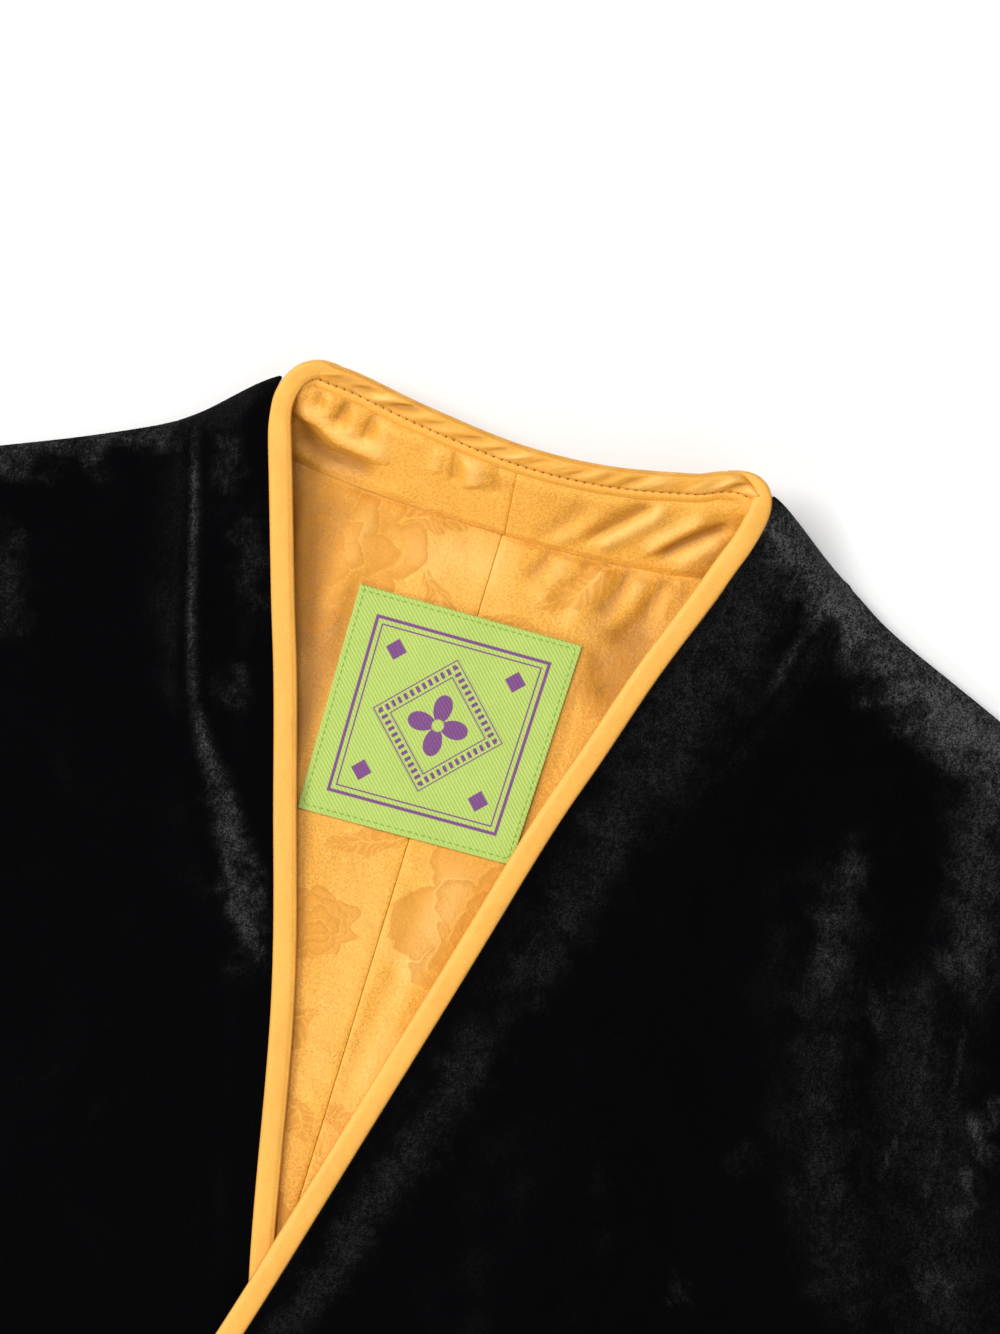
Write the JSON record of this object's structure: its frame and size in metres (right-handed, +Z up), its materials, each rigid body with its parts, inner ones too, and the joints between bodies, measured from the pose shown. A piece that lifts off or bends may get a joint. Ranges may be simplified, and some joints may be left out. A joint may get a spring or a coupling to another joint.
{
  "type": "gilet",
  "caption": "Sleeveless velvet gilet laid flat, with a bound V neck rising into a low standing collar, satin lining and lapped front.",
  "frame": {"origin": "on the surface the gilet lies on, under the middle of its outline", "axes": "+Z up from the surface, +Y from hem to neck, +X to the wearer's left"},
  "size_m": [0.5002, 0.613, 0.0193],
  "materials": {
    "velvet": "black pile velvet, soft sheen",
    "plain_satin": "golden satin, smooth",
    "figured_satin": "golden satin with tone-on-tone flowers",
    "binding_satin": "golden satin bias strip, rounded",
    "label_twill": "lime woven twill, stitched down",
    "covered_button": "button covered in the same black velvet"
  },
  "bodies": {
    "root": {"back": "velvet", "front_right": "velvet", "front_left": "velvet", "collar_outer": "velvet", "collar_inner_right": "plain_satin", "collar_inner_left": "plain_satin", "lining_right": "figured_satin", "lining_left": "figured_satin", "binding": "binding_satin", "label": "label_twill", "button_1": "covered_button", "button_2": "covered_button", "button_3": "covered_button", "button_4": "covered_button"}
  },
  "joints": []
}
